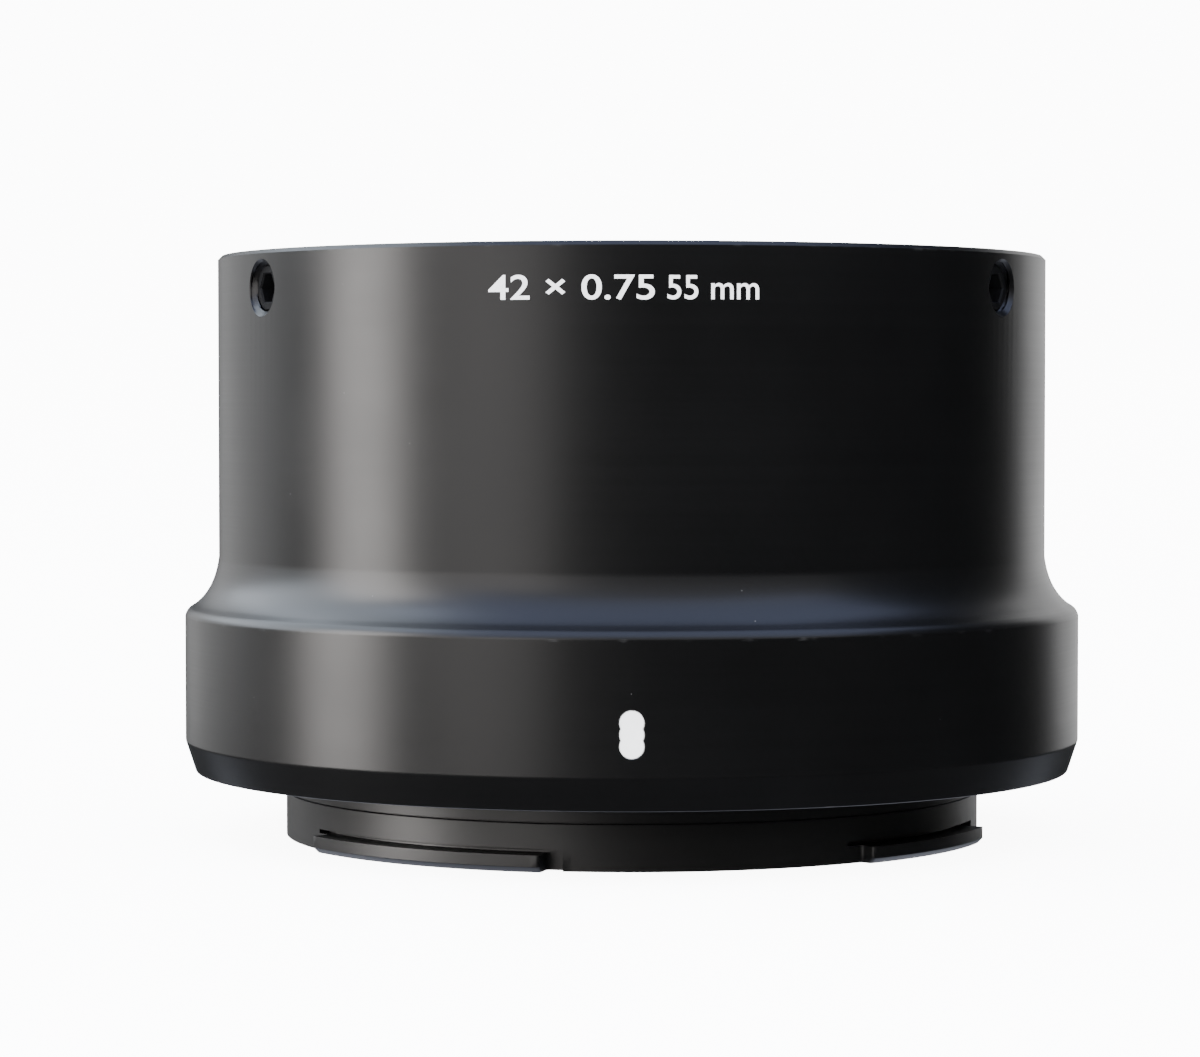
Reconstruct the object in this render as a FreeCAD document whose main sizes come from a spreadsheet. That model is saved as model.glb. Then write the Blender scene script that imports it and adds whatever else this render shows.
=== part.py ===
"""T-mount adapter: a tube that carries a lens or telescope with a 42 mm x 0.75 mm male thread
on a camera with a large bayonet throat.

The adapter stands on the rear rim of its bayonet. Z runs from the camera to the lens. The
index mark looks along -Y. Angles are measured about Z, from the index mark, towards +X.
"""
import FreeCAD, Part
import math
import os
import Sketcher

NODE_FOLDER = "parts"

SIZES = (
    # lengths along the axis
    ("flange_to_seat", 39.0, "camera flange plane to the lens seat on the thread ring"),
    ("bayonet_depth", 5.0, "flange plane to the rear rim of the bayonet"),
    # bayonet tube
    ("tube_radius", 26.53, "outside of the bayonet tube"),
    ("tube_wall", 2.13, "wall of the bayonet tube, outside to throat"),
    # bayonet lugs
    ("lug_reach", 1.27, "lugs proud of the tube"),
    ("lug_height", 1.25, "lugs above the rear rim"),
    ("lug_bevel", 0.4, "bevel under the outer edge of a lug"),
    ("undercut_height", 0.3, "milled gap over a lug"),
    ("undercut_depth", 0.8, "depth of that gap into the tube"),
    ("undercut_runout", 1.95, "angle that the cut runs on past each end of a lug"),
    ("lug_spacing", 90.0, "angle from one lug's middle to the next"),
    ("first_lug_angle", 54.7, "middle of the first lug from the index mark"),
    ("first_lug_width", 32.6, "lug right of the index mark"),
    ("second_lug_width", 40.0, "next lug round, hidden in front view"),
    ("third_lug_width", 36.0, "next lug round, hidden in front view"),
    ("fourth_lug_width", 43.7, "lug left of the index mark"),
    # bayonet flange plate
    ("plate_land", 4.87, "flange plate from the tube to its outer edge"),
    ("plate_thickness", 2.4, "flange plate, let into the barrel"),
    ("plate_clearance", 0.05, "round the flange plate"),
    # lock pin slot in the flange plate
    ("lock_slot_angle", 290.0, "slot for the camera's lock pin, from the index mark"),
    ("lock_slot_width", 2.6, "slot across"),
    ("lock_slot_gap", 0.3, "between the tube and the slot"),
    ("lock_slot_reach", 0.9, "between the centres of the slot's round ends"),
    ("lock_slot_depth", 1.8, "slot into the plate"),
    # countersunk screws of the flange plate
    ("screw_count", 4, "screws, between the lugs"),
    ("screw_edge", 2.2, "screw axis in from the plate's outer edge"),
    ("screw_radius", 1.0, "M2 shank"),
    ("screw_head_radius", 1.8, "countersunk head"),
    ("screw_length", 5.5, "screw from its head's face to its end"),
    ("screw_sink", 0.05, "head below the flange plane"),
    ("screw_clearance", 0.04, "round the shank in its hole"),
    ("tapped_spare", 0.5, "tapped hole past the screw's end"),
    # outside of the barrel, from the flange plate outwards
    ("rear_land", 1.95, "barrel's rear face round the flange plate"),
    ("rear_bevel_width", 0.77, "bevel under the grip ring, across"),
    ("rear_bevel_height", 2.35, "bevel under the grip ring, up"),
    ("shoulder_height", 12.34, "lower end of the cove above the flange plane"),
    ("shoulder_bevel", 0.54, "bevel between the grip ring and the cove"),
    ("cove_width", 2.03, "hollow curve of the cove, across"),
    ("cove_height", 3.92, "hollow curve of the cove, up"),
    ("cove_pole", 1.44, "pole of that curve above its lower end"),
    ("rim_bevel", 0.3, "bevel round the top rim"),
    # inside of the barrel
    ("rim_wall", 4.15, "barrel wall round the thread ring"),
    ("shelf_width", 1.45, "shelf under the thread ring"),
    # thread ring
    ("thread_diameter", 42.0, "nominal diameter of the female thread"),
    ("thread_pitch", 0.75, "pitch of the female thread"),
    ("ring_height", 5.9, "thread ring from its lower face to the seat"),
    ("thread_lead_in", 0.55, "bevel at the seat end of the thread"),
    ("ring_clearance", 0.05, "running clearance round and under the thread ring"),
    # set screws
    ("set_screw_radius", 2.0, "M4 set screw"),
    ("set_screw_length", 5.0, "set screw from its face to its cone point"),
    ("set_screw_recess", 0.5, "screw face below the barrel's surface"),
    ("set_screw_point_radius", 0.2, "flat on the cone point"),
    ("set_screw_drop", 2.8, "screw axis below the lens seat"),
    ("set_screw_spread", 58.0, "angle of the two front screws from the index mark"),
    ("set_screw_clearance", 0.04, "round the screw in its hole"),
    ("point_clearance", 0.1, "between the cone point and the ring's groove"),
    ("socket_flats", 2.0, "hexagon socket across its flats"),
    ("socket_depth", 2.0, "depth of the hexagon socket"),
    # index mark
    ("dot_radius", 0.86, "one drilled dot of the mark"),
    ("dot_spacing", 0.8, "from one dot to the next"),
    ("dot_count", 3, "dots of the mark"),
    ("mark_height", 5.35, "middle of the mark above the flange plane"),
    ("mark_depth", 0.35, "drilled depth at the grip ring's surface"),
    ("enamel_gap", 0.04, "enamel below the grip ring's surface"),
)

# heights and radii that follow from the sizes, as expressions on the sheet
FLANGE_Z = "Sizes.bayonet_depth"
SEAT_Z = "(Sizes.bayonet_depth + Sizes.flange_to_seat)"
PLATE_TOP_Z = "(Sizes.bayonet_depth + Sizes.plate_thickness)"
SHOULDER_Z = "(Sizes.bayonet_depth + Sizes.shoulder_height)"
THROAT_RADIUS = "(Sizes.tube_radius - Sizes.tube_wall)"
LUG_RADIUS = "(Sizes.tube_radius + Sizes.lug_reach)"
UNDERCUT_RADIUS = "(Sizes.tube_radius - Sizes.undercut_depth)"
PLATE_RADIUS = "(Sizes.tube_radius + Sizes.plate_land)"
PLATE_POCKET_RADIUS = f"({PLATE_RADIUS} + Sizes.plate_clearance)"
SCREW_CIRCLE_RADIUS = f"({PLATE_RADIUS} - Sizes.screw_edge)"
REAR_FACE_RADIUS = f"({PLATE_POCKET_RADIUS} + Sizes.rear_land)"
GRIP_RADIUS = f"({REAR_FACE_RADIUS} + Sizes.rear_bevel_width)"
SHOULDER_RADIUS = f"({GRIP_RADIUS} - Sizes.shoulder_bevel)"
BARREL_RADIUS = f"({SHOULDER_RADIUS} - Sizes.cove_width)"
RING_POCKET_RADIUS = f"({BARREL_RADIUS} - Sizes.rim_wall)"
RING_RADIUS = f"({RING_POCKET_RADIUS} - Sizes.ring_clearance)"
BARREL_BORE_RADIUS = f"({RING_POCKET_RADIUS} - Sizes.shelf_width)"
RING_BOTTOM_Z = f"({SEAT_Z} - Sizes.ring_height)"
SET_SCREW_Z = f"({SEAT_Z} - Sizes.set_screw_drop)"
SET_SCREW_FACE = f"({BARREL_RADIUS} - Sizes.set_screw_recess)"
SET_SCREW_TIP = f"({SET_SCREW_FACE} - Sizes.set_screw_length)"
SET_SCREW_HOLE = "(Sizes.set_screw_radius + Sizes.set_screw_clearance)"
SCREW_HOLE = "(Sizes.screw_radius + Sizes.screw_clearance)"
HEAD_CONE = "(Sizes.screw_head_radius - Sizes.screw_radius)"
DOT_SPAN = "(Sizes.dot_spacing * (Sizes.dot_count - 1))"
LOW_DOT_Z = f"{FLANGE_Z} + Sizes.mark_height - {DOT_SPAN} / 2"

# set screws by name, each with its angle about Z from +X
SET_SCREW_ANGLES = {
    "set_screw_right": "Sizes.set_screw_spread - 90",
    "set_screw_rear": "90",
    "set_screw_left": "-90 - Sizes.set_screw_spread",
}
LUG_WIDTHS = ("first_lug_width", "second_lug_width", "third_lug_width", "fourth_lug_width")

# a cut starts this far outside the face that it enters
CUT_START = 1.0
FULL_TURN = 360.0
HEXAGON = 6

Y_AXIS = FreeCAD.Vector(0, 1, 0)
Z_AXIS = FreeCAD.Vector(0, 0, 1)
ORIGIN = FreeCAD.Vector(0, 0, 0)

doc = FreeCAD.newDocument("t_mount_adapter")
sheet = doc.addObject("Spreadsheet::Sheet", "Sizes")


def fill_sheet():
    """Write the driving sizes, one to a row: name, value, meaning."""
    for row, (alias, size, meaning) in enumerate(SIZES, start=1):
        sheet.set(f"A{row}", alias)
        sheet.set(f"B{row}", str(size))
        sheet.set(f"C{row}", meaning)
        sheet.setAlias(f"B{row}", alias)
    doc.recompute()


def value(expression):
    """The number that an expression on the sheet gives now."""
    return float(sheet.evalExpression(expression))


def bind(feature, **expressions):
    """Tie properties of a feature to expressions on the sheet."""
    for name, expression in expressions.items():
        feature.setExpression(name, expression)


def new_body(name):
    body = doc.addObject("PartDesign::Body", name)
    body.Label = name
    return body


def origin_feature(body, role):
    return [item for item in body.Origin.OriginFeatures if item.Role == role][0]


def attach(feature, body, plane, turn_axis=None, turn=None, shift=None):
    """Attach to an origin plane, then turn about a local axis and shift, both tied to the sheet."""
    feature.AttachmentSupport = [(origin_feature(body, plane), "")]
    feature.MapMode = "FlatFace"
    rotation = FreeCAD.Rotation()
    if turn:
        rotation = FreeCAD.Rotation(turn_axis, value(turn))
    feature.AttachmentOffset = FreeCAD.Placement(ORIGIN, rotation)
    if turn:
        feature.setExpression(".AttachmentOffset.Rotation.Angle", f"({turn}) * 1 deg")
    for axis, distance in (shift or {}).items():
        feature.setExpression(f".AttachmentOffset.Base.{axis}", distance)


def section(body, name, plane, corners, poles=None, **placing):
    """Closed outline whose corners are pairs of expressions. poles gives, for the corner where
    a curve starts, the point where the tangents at its two ends meet."""
    poles = poles or {}
    sketch = body.newObject("Sketcher::SketchObject", name)
    attach(sketch, body, plane, **placing)
    points = [FreeCAD.Vector(value(across), value(up), 0) for across, up in corners]
    for number, start in enumerate(points):
        end = points[(number + 1) % len(points)]
        line = Part.LineSegment(start, end)
        if number in poles:
            across, up = poles[number]
            line = Part.BSplineCurve()
            line.buildFromPoles([start, FreeCAD.Vector(value(across), value(up), 0), end], False, 2)
        sketch.addGeometry(line, False)
    for number, corner in enumerate(corners):
        following = (number + 1) % len(corners)
        sketch.addConstraint(Sketcher.Constraint("Coincident", number, 2, following, 1))
        hold_point(sketch, number, 1, corner)
    for number, pole in poles.items():
        first_handle = sketch.GeometryCount
        sketch.exposeInternalGeometry(number)
        hold_point(sketch, first_handle + 1, 3, pole)
    doc.recompute()
    return sketch


def hold_radius(sketch, geometry, radius):
    """Tie the radius of a circle or arc in a sketch to an expression."""
    bound = sketch.addConstraint(Sketcher.Constraint("Radius", geometry, value(radius)))
    sketch.setExpression(f"Constraints[{bound}]", radius)


def hold_point(sketch, geometry, point, place):
    """Tie a point of a sketch to a pair of expressions, across and up."""
    for direction, expression in zip(("DistanceX", "DistanceY"), place):
        bound = sketch.addConstraint(Sketcher.Constraint(
            direction, -1, 1, geometry, point, value(expression)))
        sketch.setExpression(f"Constraints[{bound}]", expression)


def disc(body, name, plane, radius, across, up, **placing):
    """Sketch of one circle."""
    sketch = body.newObject("Sketcher::SketchObject", name)
    attach(sketch, body, plane, **placing)
    centre = FreeCAD.Vector(value(across), value(up), 0)
    sketch.addGeometry(Part.Circle(centre, Z_AXIS, value(radius)), False)
    hold_radius(sketch, 0, radius)
    hold_point(sketch, 0, 3, (across, up))
    doc.recompute()
    return sketch


def slot(body, name, plane, near, far, radius, **placing):
    """Sketch of a slot with round ends, centred on its X axis."""
    sketch = body.newObject("Sketcher::SketchObject", name)
    attach(sketch, body, plane, **placing)
    near_x = value(near)
    far_x = value(far)
    half = value(radius)
    quarter = math.pi / 2
    near_circle = Part.Circle(FreeCAD.Vector(near_x, 0, 0), Z_AXIS, half)
    far_circle = Part.Circle(FreeCAD.Vector(far_x, 0, 0), Z_AXIS, half)
    sketch.addGeometry(Part.ArcOfCircle(near_circle, quarter, 3 * quarter), False)
    sketch.addGeometry(Part.LineSegment(
        FreeCAD.Vector(near_x, -half, 0), FreeCAD.Vector(far_x, -half, 0)), False)
    sketch.addGeometry(Part.ArcOfCircle(far_circle, -quarter, quarter), False)
    sketch.addGeometry(Part.LineSegment(
        FreeCAD.Vector(far_x, half, 0), FreeCAD.Vector(near_x, half, 0)), False)
    for first, first_end, second, second_end in ((0, 2, 1, 1), (1, 2, 2, 1), (2, 2, 3, 1), (3, 2, 0, 1)):
        sketch.addConstraint(Sketcher.Constraint("Tangent", first, first_end, second, second_end))
    sketch.addConstraint(Sketcher.Constraint("Equal", 0, 2))
    hold_radius(sketch, 0, radius)
    hold_point(sketch, 0, 3, (near, "0"))
    hold_point(sketch, 2, 3, (far, "0"))
    doc.recompute()
    return sketch


def turned(body, name, sketch, axis="V_Axis", sweep=None, cut=False):
    """Revolve a section about an axis of its sketch, whole or a sector centred on it."""
    volume = body.Shape.Volume if body.Tip else 0.0
    feature = body.newObject("PartDesign::Groove" if cut else "PartDesign::Revolution", name)
    feature.Profile = sketch
    feature.ReferenceAxis = (sketch, [axis])
    feature.Angle = FULL_TURN
    if sweep:
        feature.Midplane = True
        bind(feature, Angle=f"({sweep}) * 1 deg")
    doc.recompute()
    check_change(body, name, volume, cut)
    return feature


def milled(body, name, sketch, depth, towards_normal=False):
    """Pocket, against the sketch's normal unless told otherwise."""
    volume = body.Shape.Volume
    feature = body.newObject("PartDesign::Pocket", name)
    feature.Profile = sketch
    feature.Reversed = towards_normal
    bind(feature, Length=depth)
    doc.recompute()
    check_change(body, name, volume, True)
    return feature


def repeated_round(body, name, original, count):
    """Copies of a feature, evenly round the body's Z axis."""
    feature = body.newObject("PartDesign::PolarPattern", name)
    feature.Originals = [original]
    feature.Axis = (origin_feature(body, "Z_Axis"), [""])
    feature.Angle = FULL_TURN
    bind(feature, Occurrences=count)
    body.Tip = feature
    doc.recompute()
    return feature


def repeated_up(body, name, original, sketch, count, length):
    """Copies of a feature along the sketch's vertical axis, over a length."""
    feature = body.newObject("PartDesign::LinearPattern", name)
    feature.Originals = [original]
    feature.Direction = (sketch, ["V_Axis"])
    bind(feature, Occurrences=count, Length=length)
    body.Tip = feature
    doc.recompute()
    return feature


def check_change(body, name, volume, cut):
    """Stop where a cut removed nothing or an addition added nothing."""
    change = body.Shape.Volume - volume
    if (change >= 0) if cut else (change <= 0):
        raise RuntimeError(f"{body.Name}: {name} changed the volume by {change:.4f}")


def make_barrel():
    """Turned tube: cove and grip ring outside, pockets for the thread ring and the flange
    plate inside, set screw holes, tapped holes and the drilled index mark."""
    body = new_body("body_barrel")
    shelf_z = f"({RING_BOTTOM_Z} - Sizes.ring_clearance)"
    outline = section(body, "barrel_section", "XZ_Plane", (
        (PLATE_POCKET_RADIUS, FLANGE_Z),
        (REAR_FACE_RADIUS, FLANGE_Z),
        (GRIP_RADIUS, f"{FLANGE_Z} + Sizes.rear_bevel_height"),
        (GRIP_RADIUS, f"{SHOULDER_Z} - Sizes.shoulder_bevel"),
        (SHOULDER_RADIUS, SHOULDER_Z),
        (BARREL_RADIUS, f"{SHOULDER_Z} + Sizes.cove_height"),
        (BARREL_RADIUS, f"{SEAT_Z} - Sizes.rim_bevel"),
        (f"{BARREL_RADIUS} - Sizes.rim_bevel", SEAT_Z),
        (RING_POCKET_RADIUS, SEAT_Z),
        (RING_POCKET_RADIUS, shelf_z),
        (BARREL_BORE_RADIUS, shelf_z),
        (BARREL_BORE_RADIUS, PLATE_TOP_Z),
        (PLATE_POCKET_RADIUS, PLATE_TOP_Z),
    ), poles={4: (BARREL_RADIUS, f"{SHOULDER_Z} + Sizes.cove_pole")})
    turned(body, "barrel_turning", outline)
    for name, angle in SET_SCREW_ANGLES.items():
        mouth = disc(body, f"{name}_hole_sketch", "YZ_Plane", SET_SCREW_HOLE, "0", SET_SCREW_Z,
                     turn_axis=Y_AXIS, turn=angle)
        milled(body, f"{name}_hole", mouth, f"{BARREL_RADIUS} + {CUT_START}", towards_normal=True)
    tapped = disc(body, "tapped_hole_sketch", "XY_Plane", SCREW_HOLE, SCREW_CIRCLE_RADIUS, "0",
                  shift={"z": PLATE_TOP_Z})
    drilled = milled(body, "tapped_hole", tapped, towards_normal=True, depth=(
        f"{FLANGE_Z} + Sizes.screw_sink + Sizes.screw_length + Sizes.tapped_spare - {PLATE_TOP_Z}"))
    repeated_round(body, "tapped_holes", drilled, "Sizes.screw_count")
    dot = disc(body, "index_dot_sketch", "XZ_Plane", "Sizes.dot_radius", "0", LOW_DOT_Z,
               shift={"z": f"{GRIP_RADIUS} + {CUT_START}"})
    drilled_dot = milled(body, "index_dot", dot, f"Sizes.mark_depth + {CUT_START}")
    repeated_up(body, "index_dots", drilled_dot, dot, "Sizes.dot_count", DOT_SPAN)
    return body


def make_index_mark():
    """White enamel that fills the drilled dots, a hair below the surface."""
    body = new_body("index_mark")
    dot = disc(body, "enamel_dot_sketch", "XZ_Plane", "Sizes.dot_radius", "0", LOW_DOT_Z,
               shift={"z": f"{GRIP_RADIUS} - Sizes.mark_depth"})
    fill = body.newObject("PartDesign::Pad", "enamel_dot")
    fill.Profile = dot
    bind(fill, Length="Sizes.mark_depth - Sizes.enamel_gap")
    doc.recompute()
    repeated_up(body, "enamel_dots", fill, dot, "Sizes.dot_count", DOT_SPAN)
    return body


def make_thread_ring():
    """Inner ring with the female thread, and a V groove outside for the set screw points."""
    body = new_body("t2_thread_ring")
    thread_radius = "(Sizes.thread_diameter / 2 - Sizes.thread_pitch * 5 * sqrt(3) / 16)"
    groove = (f"({RING_RADIUS} - {SET_SCREW_TIP}"
              " + Sizes.set_screw_point_radius + Sizes.point_clearance)")
    outline = section(body, "ring_section", "XZ_Plane", (
        (thread_radius, RING_BOTTOM_Z),
        (RING_RADIUS, RING_BOTTOM_Z),
        (RING_RADIUS, f"{SET_SCREW_Z} - {groove}"),
        (f"{RING_RADIUS} - {groove}", SET_SCREW_Z),
        (RING_RADIUS, f"{SET_SCREW_Z} + {groove}"),
        (RING_RADIUS, SEAT_Z),
        (f"{thread_radius} + Sizes.thread_lead_in", SEAT_Z),
        (thread_radius, f"{SEAT_Z} - Sizes.thread_lead_in"),
    ))
    turned(body, "ring_turning", outline)
    return body


def make_set_screw(name, angle):
    """Grub screw with a cone point and a hexagon socket, its axis along its own +X."""
    body = new_body(name)
    cone_length = "(Sizes.set_screw_radius - Sizes.set_screw_point_radius)"
    outline = section(body, f"{name}_section", "XZ_Plane", (
        (SET_SCREW_TIP, "0"),
        (SET_SCREW_FACE, "0"),
        (SET_SCREW_FACE, "Sizes.set_screw_radius"),
        (f"{SET_SCREW_TIP} + {cone_length}", "Sizes.set_screw_radius"),
        (SET_SCREW_TIP, "Sizes.set_screw_point_radius"),
    ))
    turned(body, f"{name}_turning", outline, axis="H_Axis")
    socket = body.newObject("PartDesign::SubtractivePrism", f"{name}_socket")
    attach(socket, body, "YZ_Plane", shift={"z": f"{SET_SCREW_FACE} - Sizes.socket_depth"})
    socket.Polygon = HEXAGON
    bind(socket, Circumradius="Sizes.socket_flats / sqrt(3)", Height="Sizes.socket_depth")
    doc.recompute()
    body.Placement = FreeCAD.Placement(ORIGIN, FreeCAD.Rotation(Z_AXIS, value(angle)))
    body.setExpression(".Placement.Rotation.Angle", f"({angle}) * 1 deg")
    body.setExpression(".Placement.Base.z", SET_SCREW_Z)
    return body


def make_bayonet():
    """Flange plate, bayonet tube and four lugs, turned and milled from one piece."""
    body = new_body("bayonet_mount")
    outline = section(body, "bayonet_section", "XZ_Plane", (
        (THROAT_RADIUS, "0"),
        ("Sizes.tube_radius", "0"),
        ("Sizes.tube_radius", FLANGE_Z),
        (PLATE_RADIUS, FLANGE_Z),
        (PLATE_RADIUS, PLATE_TOP_Z),
        (THROAT_RADIUS, PLATE_TOP_Z),
    ))
    turned(body, "bayonet_turning", outline)
    for number, width in enumerate(LUG_WIDTHS):
        middle = f"Sizes.first_lug_angle + {number} * Sizes.lug_spacing - 90"
        placing = {"turn_axis": Y_AXIS, "turn": middle}
        undercut_z = "Sizes.lug_height + Sizes.undercut_height"
        gap = section(body, f"undercut_section_{number + 1}", "XZ_Plane", (
            (UNDERCUT_RADIUS, f"-{CUT_START}"),
            (LUG_RADIUS, f"-{CUT_START}"),
            (LUG_RADIUS, undercut_z),
            (UNDERCUT_RADIUS, undercut_z),
        ), **placing)
        turned(body, f"undercut_{number + 1}", gap, cut=True,
               sweep=f"Sizes.{width} + 2 * Sizes.undercut_runout")
        lug = section(body, f"lug_section_{number + 1}", "XZ_Plane", (
            (THROAT_RADIUS, "0"),
            (f"{LUG_RADIUS} - Sizes.lug_bevel", "0"),
            (LUG_RADIUS, "Sizes.lug_bevel"),
            (LUG_RADIUS, "Sizes.lug_height"),
            (THROAT_RADIUS, "Sizes.lug_height"),
        ), **placing)
        turned(body, f"lug_{number + 1}", lug, sweep=f"Sizes.{width}")
    slot_start = "(Sizes.tube_radius + Sizes.lock_slot_gap + Sizes.lock_slot_width / 2)"
    lock = slot(body, "lock_slot_sketch", "XY_Plane", slot_start,
                f"{slot_start} + Sizes.lock_slot_reach", "Sizes.lock_slot_width / 2",
                turn_axis=Z_AXIS, turn="Sizes.lock_slot_angle - 90", shift={"z": FLANGE_Z})
    milled(body, "lock_slot", lock, "Sizes.lock_slot_depth", towards_normal=True)
    cone_z = f"({FLANGE_Z} + Sizes.screw_sink)"
    sunk = section(body, "countersink_section", "XZ_Plane", (
        ("0", f"{cone_z} - {CUT_START}"),
        (f"Sizes.screw_head_radius + {CUT_START}", f"{cone_z} - {CUT_START}"),
        (SCREW_HOLE, f"{cone_z} + Sizes.screw_head_radius - {SCREW_HOLE}"),
        (SCREW_HOLE, f"{PLATE_TOP_Z} + {CUT_START}"),
        ("0", f"{PLATE_TOP_Z} + {CUT_START}"),
    ), shift={"x": SCREW_CIRCLE_RADIUS})
    countersink = turned(body, "countersunk_hole", sunk, cut=True)
    repeated_round(body, "countersunk_holes", countersink, "Sizes.screw_count")
    return body


def make_bayonet_screw(number):
    """Countersunk screw, its head's face looking along -Z."""
    name = f"bayonet_screw_{number + 1}"
    body = new_body(name)
    outline = section(body, f"{name}_section", "XZ_Plane", (
        ("0", "0"),
        ("Sizes.screw_head_radius", "0"),
        ("Sizes.screw_radius", HEAD_CONE),
        ("Sizes.screw_radius", "Sizes.screw_length"),
        ("0", "Sizes.screw_length"),
    ))
    turned(body, f"{name}_turning", outline)
    angle = f"({number} * {FULL_TURN} / Sizes.screw_count)"
    body.setExpression(".Placement.Base.x", f"{SCREW_CIRCLE_RADIUS} * cos({angle} * 1 deg)")
    body.setExpression(".Placement.Base.y", f"{SCREW_CIRCLE_RADIUS} * sin({angle} * 1 deg)")
    body.setExpression(".Placement.Base.z", f"{FLANGE_Z} + Sizes.screw_sink")
    return body


def check_document(bodies):
    """Stop where any object failed or a body isn't one valid solid."""
    for item in doc.Objects:
        if {"Invalid", "Error"} & set(item.State):
            raise RuntimeError(f"{item.Name} failed: {item.State}")
    for body in bodies:
        shape = body.Shape
        if shape.isNull() or not shape.isValid() or len(shape.Solids) != 1:
            raise RuntimeError(f"{body.Name} isn't one valid solid")


def write_parts(bodies):
    os.makedirs(NODE_FOLDER, exist_ok=True)
    for body in bodies:
        body.Shape.exportStep(os.path.join(NODE_FOLDER, f"{body.Label}.step"))
        print(f"{body.Label}: {body.Shape.Volume:.2f} mm3")


fill_sheet()
adapter = [make_barrel(), make_index_mark(), make_thread_ring()]
adapter += [make_set_screw(name, angle) for name, angle in SET_SCREW_ANGLES.items()]
adapter.append(make_bayonet())
adapter += [make_bayonet_screw(number) for number in range(int(value("Sizes.screw_count")))]
doc.recompute()
check_document(adapter)
write_parts(adapter)
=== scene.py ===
import bmesh
import bpy
import math
from mathutils import Matrix, Vector


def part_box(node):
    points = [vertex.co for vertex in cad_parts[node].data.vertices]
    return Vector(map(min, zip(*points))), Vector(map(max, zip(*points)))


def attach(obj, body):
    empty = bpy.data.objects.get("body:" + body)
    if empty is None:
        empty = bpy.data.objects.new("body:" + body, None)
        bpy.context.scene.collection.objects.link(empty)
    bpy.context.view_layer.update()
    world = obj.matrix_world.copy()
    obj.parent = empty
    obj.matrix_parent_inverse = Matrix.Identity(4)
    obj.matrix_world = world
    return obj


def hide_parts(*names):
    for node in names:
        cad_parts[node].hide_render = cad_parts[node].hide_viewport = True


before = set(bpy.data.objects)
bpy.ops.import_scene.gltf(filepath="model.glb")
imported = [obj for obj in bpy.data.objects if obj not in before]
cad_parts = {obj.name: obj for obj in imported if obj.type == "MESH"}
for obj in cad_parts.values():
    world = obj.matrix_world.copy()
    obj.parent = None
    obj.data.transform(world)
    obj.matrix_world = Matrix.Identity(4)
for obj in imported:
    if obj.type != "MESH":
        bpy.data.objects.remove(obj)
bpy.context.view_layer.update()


# Camera. A long lens looks at the adapter from the index mark's side, from three quarters of
# its height and slightly down, with the adapter just right of the middle of the picture.
CAMERA_DISTANCE = 0.285
CAMERA_HEIGHT = 0.03283
CAMERA_DIP = 2.01
SENSOR_WIDTH = 36.0
FOCAL_LENGTH = 111.11
SHIFT_ACROSS = -0.0265
SHIFT_UP = 0.0043
NEAREST_SEEN = 0.01

bpy.ops.object.camera_add(
    location=(0, -CAMERA_DISTANCE, CAMERA_HEIGHT),
    rotation=(math.radians(90 - CAMERA_DIP), 0, 0))
camera = bpy.context.object
camera.data.sensor_width = SENSOR_WIDTH
camera.data.lens = FOCAL_LENGTH
camera.data.shift_x = SHIFT_ACROSS
camera.data.shift_y = SHIFT_UP
camera.data.clip_start = NEAREST_SEEN
bpy.context.scene.camera = camera


# Barrel. One aluminium tube, turned outside and in, drilled and tapped for its screws, and
# anodised satin black. It and all other pieces are modelled in millimetres about the optical
# axis, with angles from the index mark, which looks along -Y, towards +X.
MM = 0.001
SIDES = 240
FRONT = -90
NEAR = 0.001
OVERCUT = 1.0
EASE = 0.1
CORNER_ANGLE = 15
SMOOTH_ANGLE = 25
BARREL_RADIUS = 31.6
RIM_BEVEL = 0.3
LIP_RADIUS = 33.72
LIP_RISE = 0.09
COVE_START_RADIUS = 33.4
COVE_START_RISE = 0.29
COVE_POLE = 1.44
COVE_HEIGHT = 3.92
COVE_LEAN = 0.3
LIP_DROP = 0.59
LIP_LEAN = 0.1
SHOULDER_HEIGHT = 12.34
REAR_BEVEL_HEIGHT = 2.35
REAR_FACE_RADIUS = 33.4
PLATE_POCKET_RADIUS = 31.45
PLATE_POCKET_DEPTH = 2.4
RING_POCKET_RADIUS = 27.45
RING_POCKET_DEPTH = 5.95
POCKET_BEVEL = 0.2
BORE_RADIUS = 26.0
BAFFLE_PITCH = 0.8
BAFFLE_DEPTH = 0.32
BAFFLE_START = 1.5
SET_SCREW_PITCH = 0.7
SET_HOLE_CREST = 1.66
SET_HOLE_ROOT = 2.04
MOUTH_RADIUS = 2.1
TAPPED_RADIUS = 1.04
SCREW_CIRCLE_RADIUS = 29.2
TAPPED_TOP = 11.05
DRILL_TIP_RADIUS = 0.05
DRILL_TIP_RISE = 0.5
FLANGE_SCREW_ANGLES = (90, 180, 270, 0)
SET_SCREW_ANGLES = (-58, 58, 180)
THREAD_ROWS = 10
THREAD_START = 0.1
DOT_RADIUS = 0.86
DOT_SPACING = 0.8
DOT_BEVEL = 0.05
MARK_HEIGHT = 5.35
MARK_DEPTH = 0.35
ANODISED_DARK = (0.0009, 0.0009, 0.001, 1)
ANODISED_LIGHT = (0.0024, 0.0024, 0.0026, 1)
GRAIN_SIZE = 0.12
CLOUD_SIZE = 9
DUST = (0.2, 0.2, 0.2, 1)
DUST_SPACING = 1.1
# Painted highlight: a lighter colour laid in patches of this size along some edges, standing in
# for the glint of a broken edge.
EDGE_HIGHLIGHT_PAINT = (0.03, 0.03, 0.032, 1)
HIGHLIGHT_PATCH_SIZE = 1.5


def curve(start, pole, end, steps):
    """Points after start on a curve whose end tangents meet at pole."""
    points = []
    for step in range(1, steps + 1):
        share = step / steps
        points.append(tuple(
            (1 - share) ** 2 * first + 2 * share * (1 - share) * middle + share ** 2 * last
            for first, middle, last in zip(start, pole, end)))
    return points


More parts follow.
